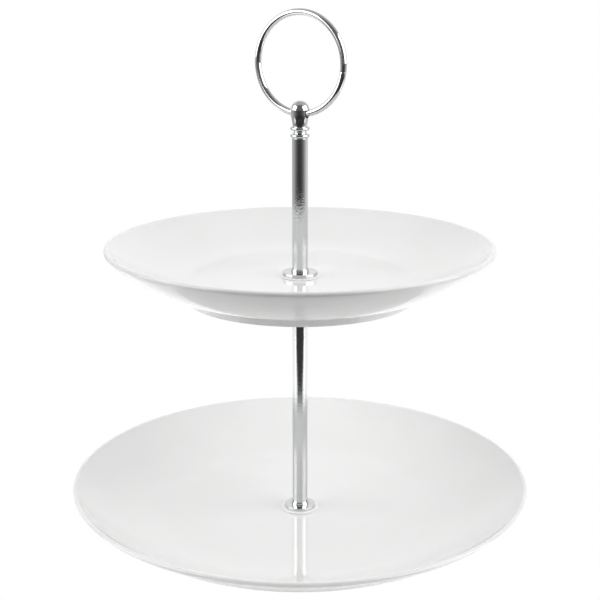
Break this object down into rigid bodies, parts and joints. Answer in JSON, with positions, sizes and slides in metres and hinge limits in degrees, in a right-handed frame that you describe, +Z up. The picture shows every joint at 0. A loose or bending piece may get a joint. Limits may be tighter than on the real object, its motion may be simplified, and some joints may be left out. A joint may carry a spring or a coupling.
{
  "type": "tiered cake stand",
  "caption": "Cake stand of two round glazed plates on a chrome column, with an acorn knob and a carrying ring on top.",
  "frame": {"origin": "on the table, under the middle of the stand", "axes": "+Z up along the column; -Y is the side seen from the front; the ring's right side stands turned towards -Y"},
  "size_m": [0.2544, 0.2544, 0.2883],
  "materials": {
    "porcelain": "clear gloss glaze",
    "chrome": "bright chrome plate",
    "soft_white": "soft white nylon",
    "zinc": "bright zinc plate",
    "brass": "machined"
  },
  "bodies": {
    "base": {"lower_plate": "porcelain", "lower_top_washer": "soft_white", "lower_bottom_washer": "soft_white"},
    "column": {"base_screw": "zinc", "base_steel_washer": "zinc", "lower_top_flange": "chrome", "column_tube": "chrome", "column_bottom_bush": "brass", "column_top_bush": "brass", "upper_bottom_flange": "chrome"},
    "upper_tier": {"upper_plate": "porcelain", "upper_bottom_washer": "soft_white", "upper_top_washer": "soft_white"},
    "collar": {"upper_top_flange": "chrome"},
    "handle": {"handle_tube": "chrome", "handle_bush": "brass", "handle_stud": "zinc", "finial_knob": "chrome"},
    "ring": {"ring_handle": "chrome"}
  },
  "joints": [
    {"name": "column_turn", "type": "hinge", "parent": "base", "child": "column", "pos_m": [0, 0, 0.0134], "axis": [0, 0, 1], "continuous": true},
    {"name": "upper_plate_turn", "type": "hinge", "parent": "column", "child": "upper_tier", "pos_m": [0, 0, 0.142], "axis": [0, 0, 1], "continuous": true},
    {"name": "handle_turn", "type": "hinge", "parent": "column", "child": "collar", "pos_m": [0, 0, 0.1482], "axis": [0, 0, 1], "range_deg": [0, 3600]},
    {"name": "handle_rise", "type": "slide", "parent": "collar", "child": "handle", "axis": [0, 0, 1], "range_m": [0, 0.0085]},
    {"name": "ring_swing", "type": "hinge", "parent": "handle", "child": "ring", "pos_m": [0, 0, 0.23475], "axis": [0.8526, -0.5225, 0], "range_deg": [-170, 170]}
  ],
  "couplings": [
    {"joint": "handle_rise", "follows": "handle_turn", "m_per_rad": 0.00012732}
  ]
}
